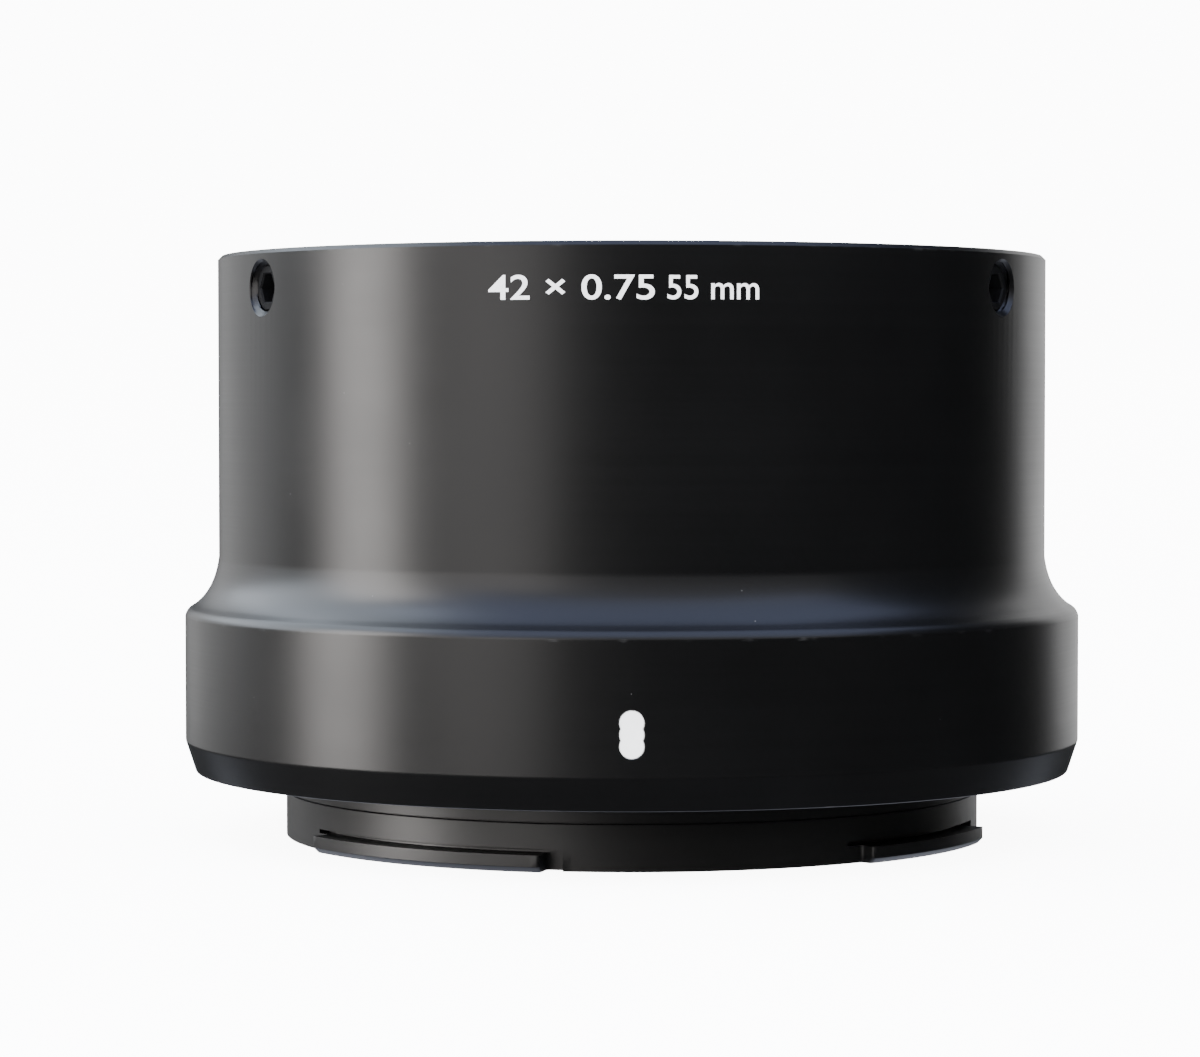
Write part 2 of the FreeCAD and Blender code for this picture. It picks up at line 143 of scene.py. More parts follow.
def eased(outline, ease=EASE):
    """The closed outline with its sharp corners broken, except between short runs."""
    result = []
    earlier = outline[-1:] + outline[:-1]
    later = outline[1:] + outline[:1]
    for before, corner, after in zip(earlier, outline, later):
        back = Vector(before) - Vector(corner)
        onward = Vector(after) - Vector(corner)
        short = min(back.length, onward.length) < 8 * ease
        if short or back.angle(-onward) < math.radians(CORNER_ANGLE):
            result.append(corner)
            continue
        start = Vector(corner) + ease * back.normalized()
        end = Vector(corner) + ease * onward.normalized()
        result += [tuple(start)] + curve(start, corner, end, 3)
    return result


def turned(name, outline, sides=SIDES, capped=False, columns=()):
    """Turn an outline of (radius, height) points about Z: a closed one makes a ring, a capped
    one a solid with a flat face at each end. A row of points then stands at each column angle."""
    radius, height = outline[0]
    bpy.ops.mesh.primitive_circle_add(vertices=sides, radius=radius,
                                      fill_type="NGON" if capped else "NOTHING")
    piece = bpy.context.object
    piece.name = name
    for column in columns:
        aim = Matrix.Rotation(math.radians(column), 3, "Z") @ Vector((radius, 0, 0))
        nearest = min(piece.data.vertices, key=lambda point: (point.co - aim).length)
        nearest.co = aim
    bpy.ops.object.mode_set(mode="EDIT")
    bpy.ops.mesh.select_all(action="SELECT")
    bpy.ops.transform.translate(value=(0, 0, height))
    for next_radius, next_height in outline[1:] + ([] if capped else outline[:1]):
        rise = {"value": (0, 0, next_height - height)}
        if capped:
            bpy.ops.mesh.extrude_region_move(TRANSFORM_OT_translate=rise)
        else:
            bpy.ops.mesh.extrude_edges_move(TRANSFORM_OT_translate=rise)
        spread = next_radius / radius
        bpy.ops.transform.resize(value=(spread, spread, 1), center_override=(0, 0, 0))
        radius, height = next_radius, next_height
    bpy.ops.mesh.select_all(action="SELECT")
    bpy.ops.mesh.remove_doubles(threshold=NEAR / 2)
    bpy.ops.mesh.normals_make_consistent(inside=False)
    bpy.ops.object.mode_set(mode="OBJECT")
    return piece


def thread_rows(lowest, highest, pitch):
    """Heights of the rows that a thread between two heights needs."""
    count = math.ceil((highest - lowest) / pitch * THREAD_ROWS)
    return [lowest + (highest - lowest) * row / count for row in range(count + 1)]


def wind_thread(piece, pitch, radius, depth, lowest, highest):
    """Move points between two heights out to a right-handed V thread, which starts from a
    radius and runs out over its first and last half turn. Points beyond it stay."""
    for point in piece.data.vertices:
        reach = math.hypot(point.co.x, point.co.y)
        run_out = min(point.co.z - lowest, highest - point.co.z) / (pitch / 2)
        if run_out <= 0 or reach < radius - NEAR:
            continue
        turn = math.atan2(point.co.y, point.co.x) / math.tau
        wave = abs(2 * ((point.co.z / pitch - turn - THREAD_START) % 1) - 1)
        spread = max(1, (radius + min(1, run_out) * depth * wave) / reach)
        point.co.x *= spread
        point.co.y *= spread


def lay_radially(piece, angle, height):
    """Turn a piece made along Z so that its Z runs outwards at an angle from the index mark."""
    outwards = Matrix.Rotation(math.radians(90), 4, "Y")
    round_axis = Matrix.Rotation(math.radians(FRONT + angle), 4, "Z")
    piece.data.transform(Matrix.Translation((0, 0, height)) @ round_axis @ outwards)


def stand_off_axis(piece, angle, radius):
    """Move a piece made about Z out to a radius, at an angle from the index mark."""
    piece.data.transform(Matrix.Rotation(math.radians(FRONT + angle), 4, "Z")
                         @ Matrix.Translation((radius, 0, 0)))


def copied(piece, name):
    """A copy with its own mesh."""
    twin = piece.copy()
    twin.data = piece.data.copy()
    twin.name = name
    bpy.context.collection.objects.link(twin)
    return twin


def joined(piece, *others):
    """One object of several that don't touch."""
    bpy.ops.object.select_all(action="DESELECT")
    for each in (piece, *others):
        each.select_set(True)
    bpy.context.view_layer.objects.active = piece
    bpy.ops.object.join()
    return piece


def combine(piece, other, operation="DIFFERENCE"):
    """Cut another shape out of a piece, or weld it on, and drop the other."""
    bpy.context.view_layer.objects.active = piece
    modifier = piece.modifiers.new("combine", "BOOLEAN")
    modifier.operation = operation
    modifier.solver = "EXACT"
    modifier.object = other
    bpy.ops.object.modifier_apply(modifier=modifier.name)
    bpy.data.objects.remove(other)


def finish_piece(piece, material, body, slot, *nodes):
    """Bring a piece to metres, smooth it, and give it its finish and its place on the adapter."""
    bpy.ops.object.select_all(action="DESELECT")
    piece.select_set(True)
    bpy.context.view_layer.objects.active = piece
    piece.scale = (MM, MM, MM)
    bpy.ops.object.transform_apply(location=False, rotation=False, scale=True)
    bpy.ops.object.shade_smooth_by_angle(angle=math.radians(SMOOTH_ANGLE))
    weighting = piece.modifiers.new("weighted_normals", "WEIGHTED_NORMAL")
    weighting.keep_sharp = True
    bpy.ops.object.modifier_apply(modifier=weighting.name)
    piece.data.materials.clear()
    piece.data.materials.append(material)
    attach(piece, body)
    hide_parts(*nodes)


class Field:
    """A quantity that varies over a surface. Python's operators on it add Math nodes."""

    def __init__(self, tree, socket=None):
        self.tree = tree
        self.socket = socket

    def node(self, kind, inputs=None, output=0, **settings):
        """Add a node with its settings and its inputs, and give one of its outputs."""
        made = self.tree.nodes.new(kind)
        for name, setting in settings.items():
            setattr(made, name, setting)
        for name, given in (inputs or {}).items():
            self.feed(made.inputs[name], given)
        return Field(self.tree, made.outputs[output])

    def feed(self, socket, given):
        if isinstance(given, Field):
            self.tree.links.new(given.socket, socket)
        else:
            socket.default_value = given

    def maths(self, operation, first, second=0.0):
        return self.node("ShaderNodeMath", {0: first, 1: second}, operation=operation)

    def __add__(self, other):
        return self.maths("ADD", self, other)

    __radd__ = __add__

    def __sub__(self, other):
        return self.maths("SUBTRACT", self, other)

    def __rsub__(self, other):
        return self.maths("SUBTRACT", other, self)

    def __mul__(self, other):
        return self.maths("MULTIPLY", self, other)

    __rmul__ = __mul__

    def __pow__(self, power):
        return self.maths("POWER", self, power)

    def __lt__(self, limit):
        return self.maths("LESS_THAN", self, limit)

    def __gt__(self, limit):
        return self.maths("GREATER_THAN", self, limit)

    def blended(self, dark, light):
        """The colour between two, by this share."""
        return self.node("ShaderNodeMix", {0: self, 6: dark, 7: light}, output=2,
                         data_type="RGBA")


def new_material(name):
    """A material, its surface shader, and the place on the piece as a field."""
    material = bpy.data.materials.new(name)
    material.use_nodes = True
    surface = material.node_tree.nodes["Principled BSDF"]
    return material, surface, Field(material.node_tree).node("ShaderNodeTexCoord", output="Object")


def black_anodised(name, roughness, mark_spacing, mark_depth, sheen=0.5, edges=()):
    """Satin black anodised aluminium: rings left by the turning tool, fine grain, dust, and
    here and there a painted highlight along an edge, each edge given by its radius and height."""
    material, surface, place = new_material(name)
    x, y, z = (place.node("ShaderNodeSeparateXYZ", {"Vector": place}, output=axis)
               for axis in "XYZ")
    radius = (x * x + y * y) ** 0.5
    across_marks = place.node("ShaderNodeCombineXYZ", {"X": radius, "Y": z})
    marks = place.node("ShaderNodeTexNoise", {
        "Vector": across_marks, "Scale": 1 / (mark_spacing * MM), "Detail": 3.0,
        "Roughness": 0.65}, noise_dimensions="2D")
    grain = place.node("ShaderNodeTexNoise", {
        "Vector": place, "Scale": 1 / (GRAIN_SIZE * MM), "Detail": 2.0})
    cloud = place.node("ShaderNodeTexNoise", {
        "Vector": place, "Scale": 1 / (CLOUD_SIZE * MM), "Detail": 3.0})
    dust_cell = place.node("ShaderNodeTexVoronoi", {
        "Vector": place, "Scale": 1 / (DUST_SPACING * MM)}, output="Distance")
    dust_choice = place.node("ShaderNodeTexVoronoi", {
        "Vector": place, "Scale": 1 / (DUST_SPACING * MM)}, output="Color")
    dust = (dust_cell < 0.035) * (dust_choice > 0.8)
    tone = marks * 0.5 + cloud * 0.5
    shade = tone.blended(ANODISED_DARK, ANODISED_LIGHT)
    colour = (dust * 0.5).blended(shade, DUST)
    highlight_patches = place.node("ShaderNodeTexNoise", {
        "Vector": place, "Scale": 1 / (HIGHLIGHT_PATCH_SIZE * MM), "Detail": 4.0})
    # Painted highlight: along each edge given, a lighter colour in broken patches stands in for
    # the glint of the broken edge.
    for edge_radius, edge_z in edges:
        across = radius - edge_radius * MM
        along = z - edge_z * MM
        painted_highlight = (across * across + along * along) ** 0.5 < (highlight_patches * 0.12 + 0.02) * MM
        colour = (painted_highlight * (highlight_patches * 3 - 1.75)).blended(colour, EDGE_HIGHLIGHT_PAINT)
    surface_height = marks * mark_depth + grain * 0.4
    bump = place.node("ShaderNodeBump", {
        "Height": surface_height, "Strength": 0.2, "Distance": 0.02 * MM}, output="Normal")
    place.feed(surface.inputs["Base Color"], colour)
    unevenness = (marks - 0.5) * 0.04 + (cloud - 0.5) * 0.08
    place.feed(surface.inputs["Roughness"], roughness + unevenness)
    place.feed(surface.inputs["Normal"], bump)
    surface.inputs["IOR"].default_value = 1.6
    surface.inputs["Specular IOR Level"].default_value = sheen
    return material


barrel_low, barrel_high = (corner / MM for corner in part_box("body_barrel"))
FLANGE_Z = barrel_low.z
SEAT_Z = barrel_high.z
GRIP_RADIUS = barrel_high.x
set_screw_low, set_screw_high = (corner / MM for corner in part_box("set_screw_rear"))
SET_SCREW_Z = (set_screw_low.z + set_screw_high.z) / 2
MARK_Z = FLANGE_Z + MARK_HEIGHT

shoulder_z = FLANGE_Z + SHOULDER_HEIGHT
shelf_z = SEAT_Z - RING_POCKET_DEPTH
pocket_top_z = FLANGE_Z + PLATE_POCKET_DEPTH
lip_start = (GRIP_RADIUS, shoulder_z - LIP_DROP)
lip_end = (LIP_RADIUS, shoulder_z + LIP_RISE)
cove_start = (COVE_START_RADIUS, shoulder_z + COVE_START_RISE)
lip_slope = (cove_start[1] - lip_end[1]) / (lip_end[0] - cove_start[0])
lip_pole_radius = GRIP_RADIUS - LIP_LEAN
lip_pole = (lip_pole_radius, lip_end[1] - (lip_pole_radius - LIP_RADIUS) * lip_slope)
cove_end = (BARREL_RADIUS, shoulder_z + COVE_HEIGHT)
outside = [
    (PLATE_POCKET_RADIUS, FLANGE_Z),
    (REAR_FACE_RADIUS, FLANGE_Z),
    (GRIP_RADIUS, FLANGE_Z + REAR_BEVEL_HEIGHT),
    lip_start,
    *curve(lip_start, lip_pole, lip_end, 8),
    cove_start,
    *curve(cove_start, (BARREL_RADIUS + COVE_LEAN, shoulder_z + COVE_POLE), cove_end, 14),
    (BARREL_RADIUS, SEAT_Z - RIM_BEVEL),
    (BARREL_RADIUS - RIM_BEVEL, SEAT_Z),
    (RING_POCKET_RADIUS + POCKET_BEVEL, SEAT_Z),
    (RING_POCKET_RADIUS, SEAT_Z - POCKET_BEVEL),
    (RING_POCKET_RADIUS, shelf_z),
    (BORE_RADIUS, shelf_z),
]
baffles = []
for turn in range(int((shelf_z - pocket_top_z - 2 * BAFFLE_START) / BAFFLE_PITCH)):
    crest_z = shelf_z - BAFFLE_START - turn * BAFFLE_PITCH
    baffles += [(BORE_RADIUS, crest_z), (BORE_RADIUS + BAFFLE_DEPTH, crest_z - BAFFLE_PITCH / 2)]
inside = [(BORE_RADIUS, pocket_top_z), (PLATE_POCKET_RADIUS, pocket_top_z)]
barrel = turned("barrel", eased(outside + baffles + inside))

hole_start = BORE_RADIUS - OVERCUT
hole_end = BARREL_RADIUS + OVERCUT / 2
set_hole = turned("set_screw_hole", [
    (max(SET_HOLE_CREST, MOUTH_RADIUS - max(0, BARREL_RADIUS - row)), row)
    for row in thread_rows(hole_start, hole_end, SET_SCREW_PITCH)
], sides=72, capped=True)
wind_thread(set_hole, SET_SCREW_PITCH, SET_HOLE_CREST, SET_HOLE_ROOT - SET_HOLE_CREST,
            hole_start - SET_SCREW_PITCH, hole_end + SET_SCREW_PITCH)
cutters = []
for angle in SET_SCREW_ANGLES:
    hole = copied(set_hole, "set_screw_hole_cut")
    lay_radially(hole, angle, SET_SCREW_Z)
    cutters.append(hole)
bpy.data.objects.remove(set_hole)
for angle in FLANGE_SCREW_ANGLES:
    tapped = turned("tapped_hole", [
        (TAPPED_RADIUS, pocket_top_z - OVERCUT), (TAPPED_RADIUS, TAPPED_TOP),
        (DRILL_TIP_RADIUS, TAPPED_TOP + DRILL_TIP_RISE),
    ], sides=32, capped=True)
    stand_off_axis(tapped, angle, SCREW_CIRCLE_RADIUS)
    cutters.append(tapped)


def three_dots(name, outline):
    """Three overlapping discs, one above another, that look out of the grip ring's front."""
    dots = []
    for step in (0, -1, 1):
        dot = turned(name, outline, sides=64, capped=True)
        lay_radially(dot, 0, MARK_Z + step * DOT_SPACING)
        dots.append(dot)
    for other in dots[1:]:
        combine(dots[0], other, operation="UNION")
    return dots[0]


cutters.append(three_dots("index_dots", [
    (DOT_RADIUS, GRIP_RADIUS - MARK_DEPTH), (DOT_RADIUS, GRIP_RADIUS - DOT_BEVEL),
    (DOT_RADIUS + 2 * DOT_BEVEL, GRIP_RADIUS + DOT_BEVEL),
    (DOT_RADIUS + 2 * DOT_BEVEL, GRIP_RADIUS + OVERCUT),
]))
combine(barrel, joined(*cutters))

# Edges with a painted highlight: the shoulder lip, the rear corner and the top rim.
painted_highlight_edges = (lip_start, (REAR_FACE_RADIUS, FLANGE_Z), (BARREL_RADIUS, SEAT_Z - RIM_BEVEL))
barrel_finish = black_anodised(
    "barrel_anodised", roughness=0.34, mark_spacing=0.16, mark_depth=0.25, edges=painted_highlight_edges)
finish_piece(barrel, barrel_finish, "barrel", "barrel_anodised", "body_barrel")


# Index mark. White enamel wiped into the three drilled dots, a hair below the grip ring's
# surface and slightly hollow, lined up with the camera's mark when the adapter goes on.
ENAMEL_GAP = 0.05
ENAMEL_EDGE = 0.04

index_mark = three_dots("index_enamel", [
    (DOT_RADIUS, GRIP_RADIUS - MARK_DEPTH), (DOT_RADIUS, GRIP_RADIUS - ENAMEL_GAP - ENAMEL_EDGE),
    (DOT_RADIUS - 1.5 * ENAMEL_EDGE, GRIP_RADIUS - ENAMEL_GAP),
])

enamel, surface, place = new_material("mark_enamel")
cloud = place.node("ShaderNodeTexNoise", {
    "Vector": place, "Scale": 1 / (0.5 * MM), "Detail": 3.0})
enamel_white = cloud.blended((0.88, 0.88, 0.87, 1), (0.98, 0.98, 0.97, 1))
place.feed(surface.inputs["Base Color"], enamel_white)
place.feed(surface.inputs["Roughness"], 0.35 + cloud * 0.15)
place.feed(surface.inputs["Normal"], place.node("ShaderNodeBump", {
    "Height": cloud, "Strength": 0.3, "Distance": 0.03 * MM}, output="Normal"))
finish_piece(index_mark, enamel, "barrel", "mark_enamel", "index_mark")


# Thread ring. A turned aluminium ring with the 42 mm female thread, anodised black, held in its
# pocket by the points of three set screws in its V groove, and flush with the barrel's rim.
THREAD_PITCH = 0.75
THREAD_CREST = 20.594
THREAD_DEPTH = 0.406
LEAD_IN = 0.55
RING_RADIUS = 27.4
V_GROOVE_DEPTH = 1.6
RING_BEVEL = 0.2
THREAD_END_GAP = 0.15
THREAD_SEAT_GAP = 0.08

ring_low, ring_high = (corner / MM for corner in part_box("t2_thread_ring"))
ring_outline = eased([
    (RING_RADIUS, ring_low.z),
    (RING_RADIUS, SET_SCREW_Z - V_GROOVE_DEPTH),
    (RING_RADIUS - V_GROOVE_DEPTH, SET_SCREW_Z),
    (RING_RADIUS, SET_SCREW_Z + V_GROOVE_DEPTH),
    (RING_RADIUS, ring_high.z - RING_BEVEL),
    (RING_RADIUS - RING_BEVEL, ring_high.z),
    (THREAD_CREST + LEAD_IN, ring_high.z),
    (THREAD_CREST, ring_high.z - LEAD_IN),
    (THREAD_CREST, ring_low.z),
])
rows = thread_rows(ring_low.z + THREAD_END_GAP, ring_high.z - LEAD_IN - THREAD_SEAT_GAP,
                   THREAD_PITCH)
ring_outline[-4:-4] = [(THREAD_CREST, row) for row in reversed(rows)]
thread_ring = turned("thread_ring", ring_outline)
wind_thread(thread_ring, THREAD_PITCH, THREAD_CREST, THREAD_DEPTH, rows[0], rows[-1])
ring_finish = black_anodised(
    "ring_anodised", roughness=0.36, mark_spacing=0.2, mark_depth=1.2)
finish_piece(thread_ring, ring_finish, "thread_ring", "ring_anodised", "t2_thread_ring")


# Set screws. Three M4 grub screws of blackened steel with a hexagon socket and a cone point,
# screwed in until their points bear in the ring's groove, their faces just inside the barrel.
SCREW_CREST = 1.62
SCREW_ROOT_TO_CREST = 0.38
POINT_RADIUS = 0.2
SCREW_LENGTH = 5.0
SCREW_RECESS = 0.5
FACE_BEVEL = 0.08
FACE_LAND = 0.06
THREAD_TO_FACE = 0.05
SOCKET_RADIUS = 1.155
SOCKET_DEPTH = 2.0
SOCKET_TIP_RADIUS = 0.1
SOCKET_TIP_DEPTH = 0.4
SOCKET_BEVEL = 0.14
SOCKET_BEVEL_DEPTH = 0.12

face = BARREL_RADIUS - SCREW_RECESS
tip = face - SCREW_LENGTH
screw_rows = thread_rows(
    tip + SCREW_CREST - POINT_RADIUS, face - 2 * FACE_LAND, SET_SCREW_PITCH)
set_screw = turned("set_screw", [
    (POINT_RADIUS, tip),
    *((SCREW_CREST, row) for row in screw_rows),
    (SCREW_CREST, face - FACE_LAND),
    (SCREW_CREST - FACE_BEVEL, face),
], sides=64, capped=True)
wind_thread(set_screw, SET_SCREW_PITCH, SCREW_CREST, SCREW_ROOT_TO_CREST,
            screw_rows[0], face - THREAD_TO_FACE)
socket = turned("socket", [
    (SOCKET_TIP_RADIUS, face - SOCKET_DEPTH - SOCKET_TIP_DEPTH),
    (SOCKET_RADIUS, face - SOCKET_DEPTH),
    (SOCKET_RADIUS, face - SOCKET_BEVEL_DEPTH),
    (SOCKET_RADIUS + SOCKET_BEVEL, face + SOCKET_BEVEL - SOCKET_BEVEL_DEPTH),
    (SOCKET_RADIUS + SOCKET_BEVEL, face + OVERCUT),
], sides=6, capped=True)
combine(set_screw, socket)

screw_steel, surface, place = new_material("black_steel")
wear = place.node("ShaderNodeTexNoise", {
    "Vector": place, "Scale": 1 / (0.35 * MM), "Detail": 4.0, "Roughness": 0.6})
# Painted shade: the blackened steel's own colour is darkened further to stand in for the shadow
# deep in the set screw holes. The bayonet screws share this colour.
shaded_black_steel = wear.blended((0.003, 0.003, 0.0035, 1), (0.012, 0.012, 0.013, 1))
place.feed(surface.inputs["Base Color"], shaded_black_steel)
place.feed(surface.inputs["Roughness"], 0.5 + wear * 0.2)
place.feed(surface.inputs["Normal"], place.node("ShaderNodeBump", {
    "Height": wear, "Strength": 0.3, "Distance": 0.01 * MM}, output="Normal"))
surface.inputs["Metallic"].default_value = 0.5
surface.inputs["Specular IOR Level"].default_value = 0.2
for side, angle in zip(("left", "right", "rear"), SET_SCREW_ANGLES):
    screw = copied(set_screw, f"grub_screw_{side}")
    lay_radially(screw, angle, SET_SCREW_Z)
    finish_piece(screw, screw_steel, f"screw_{side}", "black_steel", f"set_screw_{side}")
bpy.data.objects.remove(set_screw)


# Bayonet. A flange plate let into the barrel's rear, with the bayonet tube and its four unequal
# lugs, of black anodised aluminium. It is turned from one piece, undercut behind the lugs, and
# milled away between them, which leaves a run-out at one end of each lug.
TUBE_RADIUS = 26.53
THROAT_RADIUS = 24.4
COLLAR_RADIUS = 26.63
COLLAR_HEIGHT = 1.52
PLATE_RADIUS = 31.4
LUG_RADIUS = 27.8
LUG_HEIGHT = 1.25
LUG_BEVEL = 0.4
LUG_END_BEVEL = 0.25
UNDERCUT_RADIUS = 25.73
UNDERCUT_TOP = 1.55
RUNOUT_REACH = 1.35
RUNOUT_ROUND = 0.3
EDGE_MARGIN = 0.05
LUG_EDGE_REACH = 0.3
END_TOLERANCE = 0.02
GROOVE_DEPTH = 0.12
GROOVE_SLOPE = 0.08
LUGS = ((54.7, 32.6), (144.7, 40.0), (234.7, 36.0), (324.7, 43.7))
RIM_CORNER = 0.2
BROKEN_EDGE = 0.035
HEAD_RADIUS = 1.8
HEAD_SINK = 0.05
SINK_BEVEL = 0.3
LOCK_SLOT_ANGLE = 290
LOCK_SLOT_RADIUS = 1.3
LOCK_SLOT_PLACES = (28.13, 29.03)
LOCK_SLOT_DEPTH = 1.8


def select_where(piece, kind, test):
    """In edit mode, select only the faces or edges whose middle passes a test of its radius,
    height and angle from the index mark."""
    bpy.ops.mesh.select_mode(type="FACE" if kind == "faces" else "EDGE")
    bpy.ops.mesh.select_all(action="DESELECT")
    mesh = bmesh.from_edit_mesh(piece.data)
    for part in getattr(mesh, kind):
        middle = sum((point.co for point in part.verts), Vector()) / len(part.verts)
        angle = (math.degrees(math.atan2(middle.y, middle.x)) - FRONT) % 360
        radius = sum(math.hypot(point.co.x, point.co.y) for point in part.verts) / len(part.verts)
        if test(radius, middle.z, angle):
            part.select_set(True)
    bmesh.update_edit_mesh(piece.data)


def box_between(corner, opposite):
    """A box between two opposite corners."""
    bpy.ops.mesh.primitive_cube_add(size=1)
    box = bpy.context.object
    size = [abs(first - second) for first, second in zip(corner, opposite)]
    box.data.transform(Matrix.Translation((Vector(corner) + Vector(opposite)) / 2)
                       @ Matrix.Diagonal((*size, 1)))
    return box


def scale_outwards(spread):
    bpy.ops.transform.resize(value=(spread, spread, 1), center_override=(0, 0, 0))


def apart(angle, other):
    """How far two angles lie apart, without regard to whole turns."""
    return abs((angle - other + 180) % 360 - 180)


def on_lug(angle):
    return any(apart(angle, middle) < width / 2 for middle, width in LUGS)


def at_end(angle, sides=(-1, 1)):
    """Whether an angle is that of a lug's end, on the sides given."""
    return any(apart(angle, end) < END_TOLERANCE for end, side in ends if side in sides)


ends = [(middle + side * width / 2, side) for middle, width in LUGS for side in (-1, 1)]
collar_z = FLANGE_Z - COLLAR_HEIGHT
bayonet = turned("bayonet", [
    (THROAT_RADIUS + RIM_CORNER, 0),
    (UNDERCUT_RADIUS, 0),
    (TUBE_RADIUS, 0),
    (TUBE_RADIUS, LUG_HEIGHT),
    (TUBE_RADIUS, UNDERCUT_TOP),
    (TUBE_RADIUS, collar_z - 2 * GROOVE_SLOPE),
    (TUBE_RADIUS - GROOVE_DEPTH, collar_z - GROOVE_SLOPE),
    (TUBE_RADIUS - GROOVE_DEPTH, collar_z),
    (COLLAR_RADIUS, collar_z),
    (COLLAR_RADIUS, FLANGE_Z),
    (PLATE_RADIUS, FLANGE_Z),
    (PLATE_RADIUS, pocket_top_z),
    (THROAT_RADIUS, pocket_top_z),
    (THROAT_RADIUS, RIM_CORNER),
], columns=[FRONT + end for end, side in ends])
bpy.ops.object.mode_set(mode="EDIT")
for lowest, highest, radius_moved_to in (
        (LUG_HEIGHT, UNDERCUT_TOP, UNDERCUT_RADIUS), (0, LUG_HEIGHT, LUG_RADIUS)):
    select_where(bayonet, "faces", lambda radius, height, angle: (
        abs(radius - TUBE_RADIUS) < NEAR and lowest < height < highest and on_lug(angle)))
    bpy.ops.mesh.extrude_region_move()
    scale_outwards(radius_moved_to / TUBE_RADIUS)
select_where(bayonet, "edges", lambda radius, height, angle: (
    abs(radius - LUG_RADIUS) < NEAR and abs(height) < NEAR))
bpy.ops.mesh.bevel(offset=LUG_BEVEL, offset_type="OFFSET", segments=1, affect="EDGES")
select_where(bayonet, "edges", lambda radius, height, angle: (
    radius > LUG_RADIUS - LUG_EDGE_REACH
    and EDGE_MARGIN < height < LUG_HEIGHT - EDGE_MARGIN and at_end(angle)))
bpy.ops.mesh.bevel(offset=LUG_END_BEVEL, offset_type="OFFSET", segments=6, affect="EDGES")
select_where(bayonet, "edges", lambda radius, height, angle: (
    abs(radius - TUBE_RADIUS) < NEAR
    and EDGE_MARGIN < height < LUG_HEIGHT - EDGE_MARGIN and at_end(angle, sides=(-1,))))
bpy.ops.mesh.bevel(offset=LUG_END_BEVEL, offset_type="OFFSET", segments=6, affect="EDGES")
bpy.ops.mesh.select_all(action="SELECT")
bpy.ops.mesh.normals_make_consistent(inside=False)
bpy.ops.object.mode_set(mode="OBJECT")
easing = bayonet.modifiers.new("broken_edges", "BEVEL")
easing.width = BROKEN_EDGE
easing.segments = 2
easing.limit_method = "ANGLE"
easing.angle_limit = math.radians(SMOOTH_ANGLE)
bpy.ops.object.modifier_apply(modifier=easing.name)

cutters = []
for angle in FLANGE_SCREW_ANGLES:
    countersink = turned("countersink", [
        (HEAD_RADIUS + SINK_BEVEL, FLANGE_Z - OVERCUT),
        (HEAD_RADIUS + SINK_BEVEL, FLANGE_Z - SINK_BEVEL + HEAD_SINK),
        (TAPPED_RADIUS, FLANGE_Z + HEAD_SINK + HEAD_RADIUS - TAPPED_RADIUS),
        (TAPPED_RADIUS, pocket_top_z + OVERCUT),
    ], sides=48, capped=True)
    stand_off_axis(countersink, angle, SCREW_CIRCLE_RADIUS)
    cutters.append(countersink)
for end, side in ends:
    groove_end = box_between((0, -OVERCUT / 2 * side, LUG_HEIGHT - NEAR),
                             (3 * OVERCUT, RUNOUT_REACH * side, UNDERCUT_TOP))
    if side > 0:
        runout = box_between((0, -10 * NEAR, -OVERCUT), (3 * OVERCUT, RUNOUT_REACH, LUG_HEIGHT))
        bpy.ops.object.mode_set(mode="EDIT")
        select_where(runout, "edges", lambda radius, height, angle: (
            radius < RUNOUT_REACH / 2
            and EDGE_MARGIN - OVERCUT < height < LUG_HEIGHT - EDGE_MARGIN))
        bpy.ops.mesh.bevel(offset=RUNOUT_ROUND, offset_type="OFFSET", segments=6, affect="EDGES")
        bpy.ops.object.mode_set(mode="OBJECT")
        combine(groove_end, runout, operation="UNION")
    stand_off_axis(groove_end, end, UNDERCUT_RADIUS)
    cutters.append(groove_end)
near_place, far_place = LOCK_SLOT_PLACES
lock_slot = turned("lock_slot", [
    (LOCK_SLOT_RADIUS, FLANGE_Z - OVERCUT), (LOCK_SLOT_RADIUS, FLANGE_Z + LOCK_SLOT_DEPTH),
], sides=48, capped=True)
for point in lock_slot.data.vertices:
    point.co.x += far_place if point.co.x > 0 else near_place
stand_off_axis(lock_slot, LOCK_SLOT_ANGLE, 0)
combine(bayonet, joined(lock_slot, *cutters))

bayonet_finish = black_anodised(
    "bayonet_anodised", roughness=0.42, mark_spacing=0.14, mark_depth=0.6, sheen=0.72)
finish_piece(bayonet, bayonet_finish, "barrel", "bayonet_anodised", "bayonet_mount")


# Bayonet screws. Four M2 countersunk screws with a cross recess, of the same blackened steel,
# fix the flange plate to the barrel from behind, one between each two lugs.
SHANK_RADIUS = 1.0
M2_LENGTH = 5.5
RECESS_REACH = 0.95
RECESS_WIDTH = 0.42
RECESS_DEPTH = 0.75
RECESS_TAPER = (0.35, 0.6, 1)
HEAD_EDGE = 0.05
TIP_BEVEL = 0.2
FIRST_TURN = 17
TURN_STEP = 41

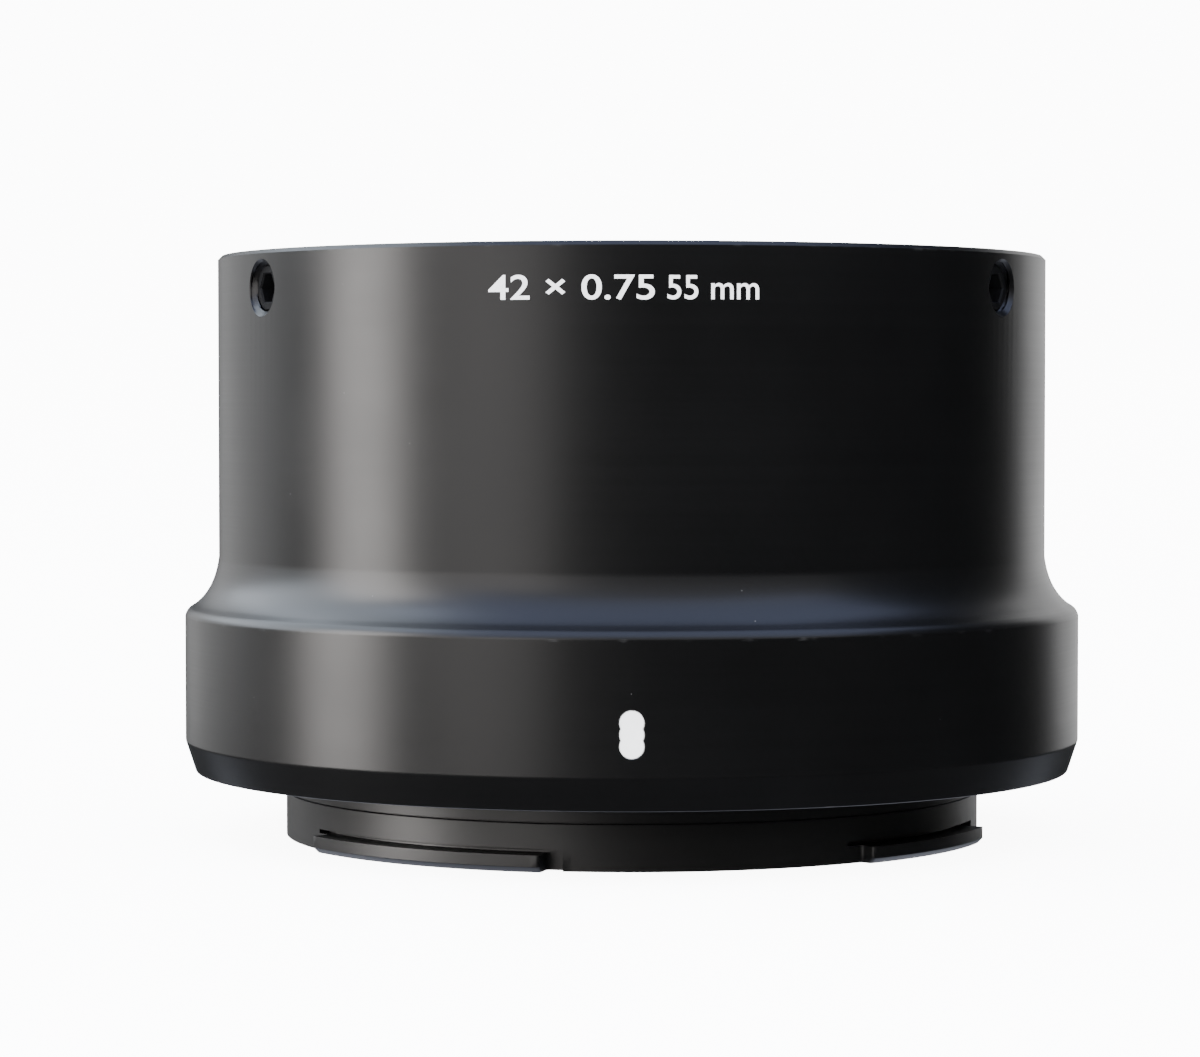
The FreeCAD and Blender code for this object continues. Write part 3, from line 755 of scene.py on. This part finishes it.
head_z = FLANGE_Z + HEAD_SINK
m2_screw = turned("m2_screw", [
    (HEAD_RADIUS - HEAD_EDGE, head_z),
    (HEAD_RADIUS, head_z + HEAD_EDGE),
    (SHANK_RADIUS, head_z + HEAD_RADIUS - SHANK_RADIUS),
    (SHANK_RADIUS, head_z + M2_LENGTH - TIP_BEVEL),
    (SHANK_RADIUS - TIP_BEVEL, head_z + M2_LENGTH),
], sides=48, capped=True)
for turn in (0, 90):
    bpy.ops.mesh.primitive_cube_add(size=1)
    blade = bpy.context.object
    bpy.ops.object.mode_set(mode="EDIT")
    bpy.ops.transform.resize(value=(2 * RECESS_REACH, RECESS_WIDTH, 2 * RECESS_DEPTH))
    select_where(blade, "faces", lambda radius, height, angle: height > 0.9 * RECESS_DEPTH)
    bpy.ops.transform.resize(value=RECESS_TAPER, center_override=(0, 0, 0))
    bpy.ops.object.mode_set(mode="OBJECT")
    blade.data.transform(Matrix.Translation((0, 0, head_z))
                         @ Matrix.Rotation(math.radians(turn), 4, "Z"))
    combine(m2_screw, blade)
for number, angle in enumerate(FLANGE_SCREW_ANGLES, start=1):
    screw = copied(m2_screw, f"flange_screw_{number}")
    screw.data.transform(
        Matrix.Rotation(math.radians(FIRST_TURN + TURN_STEP * number), 4, "Z"))
    stand_off_axis(screw, angle, SCREW_CIRCLE_RADIUS)
    finish_piece(screw, screw_steel, "barrel", "black_steel", f"bayonet_screw_{number}")
bpy.data.objects.remove(m2_screw)


# Numbers. The thread's size and the lens's register, printed in white on the barrel under the
# rim, bold and then light, and wrapped round the surface. Each has its size, boldness, stretch
# and place.
NUMBER_Z = 40.7
NUMBERS = (("42 × 0.75", 2.4, 0.02, 1.27, -4.15), ("55 mm", 2.35, 0.016, 1.0, 5.65))
PRINT_THICKNESS = 0.03

printed = []
for words, size, boldness, stretch, middle in NUMBERS:
    bpy.ops.object.text_add()
    text = bpy.context.object
    text.data.body = words
    text.data.size = size
    text.data.align_x = "CENTER"
    text.data.align_y = "CENTER"
    text.data.offset = boldness
    text.data.extrude = PRINT_THICKNESS / 2
    bpy.ops.object.convert(target="MESH")
    for point in text.data.vertices:
        across = (point.co.x * stretch + middle) / BARREL_RADIUS
        out = BARREL_RADIUS + PRINT_THICKNESS / 2 + point.co.z
        point.co = (out * math.sin(across), -out * math.cos(across), NUMBER_Z + point.co.y)
    printed.append(text)
numbers = joined(*printed)
numbers.name = "printed_numbers"
white_print, surface, place = new_material("white_print")
speckle = place.node("ShaderNodeTexNoise", {
    "Vector": place, "Scale": 1 / (0.15 * MM), "Detail": 3.0})
print_white = speckle.blended((0.7, 0.7, 0.7, 1), (0.95, 0.95, 0.95, 1))
place.feed(surface.inputs["Base Color"], print_white)
place.feed(surface.inputs["Roughness"], 0.5 + speckle * 0.2)
finish_piece(numbers, white_print, "barrel", "mark_enamel")


# Floor. A round sweep of pale acrylic that glows, as on a light table. It shows only to the
# camera and only from inside, so that the metal mirrors the soft boxes alone, as dark flags
# would have it.
FLOOR_RADIUS = 450
SWEEP_RADIUS = 1500
SWEEP_TOP = 1700
FLOOR_GAP = 0.00002
GLOW = 9.0

rise = curve((FLOOR_RADIUS, 0), (SWEEP_RADIUS, 0),
             (SWEEP_RADIUS, SWEEP_RADIUS - FLOOR_RADIUS), 16)
sweep = turned("sweep", [(FLOOR_RADIUS, 0), *rise, (SWEEP_RADIUS, SWEEP_TOP)],
               sides=128, capped=True)
bpy.ops.object.mode_set(mode="EDIT")
select_where(sweep, "faces", lambda radius, height, angle: height > SWEEP_TOP - 1)
bpy.ops.mesh.delete(type="FACE")
bpy.ops.object.mode_set(mode="OBJECT")
sweep.scale = (MM, MM, MM)
sweep.location.z = -FLOOR_GAP
bpy.ops.object.transform_apply()
bpy.ops.object.shade_smooth()
sweep.visible_glossy = False
sweep.visible_diffuse = False
sweep.visible_shadow = False
acrylic, surface, place = new_material("pale_acrylic")
cloud = place.node("ShaderNodeTexNoise", {"Vector": place, "Scale": 30.0, "Detail": 4.0})
place.feed(surface.inputs["Base Color"], cloud.blended((0.86, 0.86, 0.86, 1), (0.9, 0.9, 0.9, 1)))
surface.inputs["Roughness"].default_value = 0.9
surface.inputs["Emission Color"].default_value = (1, 1, 1, 1)
surface.inputs["Emission Strength"].default_value = GLOW
seen_from_inside = place.node("ShaderNodeNewGeometry", output="Backfacing")
clear = place.node("ShaderNodeBsdfTransparent")
one_way = place.node("ShaderNodeMixShader", {
    0: seen_from_inside, 1: clear, 2: Field(place.tree, surface.outputs["BSDF"])})
place.feed(acrylic.node_tree.nodes["Material Output"].inputs["Surface"], one_way)
sweep.data.materials.append(acrylic)


# Lights. Soft boxes give the dark metal its reflections: a warm one to the left and a weak one
# between it and the camera, cool ones overhead and underneath, and two behind that edge the
# barrel with light. The sky is plain white, and dim in the metal.
MIDDLE = Vector((0, 0, 0.022))
SKY = (0.97, 0.985, 1.0, 1)
SKY_STRENGTH = 3.2
SKY_IN_METAL = 0.02


def soft_box(name, angle, elevation, distance, width, height, radiance, colour):
    """A rectangular light that looks at the adapter, at an angle from the index mark."""
    round_axis = Matrix.Rotation(math.radians(angle), 3, "Z")
    upwards = Matrix.Rotation(math.radians(-elevation), 3, "X")
    outwards = round_axis @ upwards @ Vector((0, -1, 0))
    bpy.ops.object.light_add(type="AREA", location=MIDDLE + distance * outwards)
    light = bpy.context.object
    light.name = name
    light.data.shape = "RECTANGLE"
    light.data.size = width
    light.data.size_y = height
    light.data.energy = radiance * math.pi * width * height
    light.data.color = colour
    light.rotation_euler = (-outwards).to_track_quat("-Z", "Y").to_euler()
    light.visible_camera = False


soft_box("left_box", -75, 13, 0.6, 0.22, 0.5, 10.0, (1.0, 0.965, 0.94))
soft_box("left_fill", -35, 10, 0.7, 0.36, 0.5, 1.9, (1.0, 0.96, 0.94))
soft_box("front_top_box", 14, 30, 0.8, 1.4, 0.45, 0.5, (1.0, 0.97, 0.94))
soft_box("overhead_box", 4, 71, 0.7, 1.5, 0.8, 1.8, (0.55, 0.65, 1.0))
soft_box("high_left_box", -113, 38, 0.7, 0.7, 0.6, 3.8, (0.8, 0.89, 1.0))
soft_box("low_box", 180, -78, 0.5, 0.8, 0.7, 0.9, (0.75, 0.8, 1.0))
soft_box("low_back_box", 180, -42, 0.6, 1.3, 0.4, 0.9, (0.82, 0.87, 1.0))
soft_box("left_edge_box", -132, 10, 0.8, 0.75, 0.5, 1.05, (1, 1, 1))
soft_box("right_edge_box", 150, 10, 0.8, 0.5, 0.5, 1.5, (1, 1, 1))
world = bpy.data.worlds.new("studio")
world.use_nodes = True
sky = Field(world.node_tree)
in_mirror = sky.node("ShaderNodeLightPath", output="Is Glossy Ray")
background = world.node_tree.nodes["Background"]
background.inputs["Color"].default_value = SKY
sky.feed(background.inputs["Strength"], SKY_STRENGTH - in_mirror * (SKY_STRENGTH - SKY_IN_METAL))
bpy.context.scene.world = world
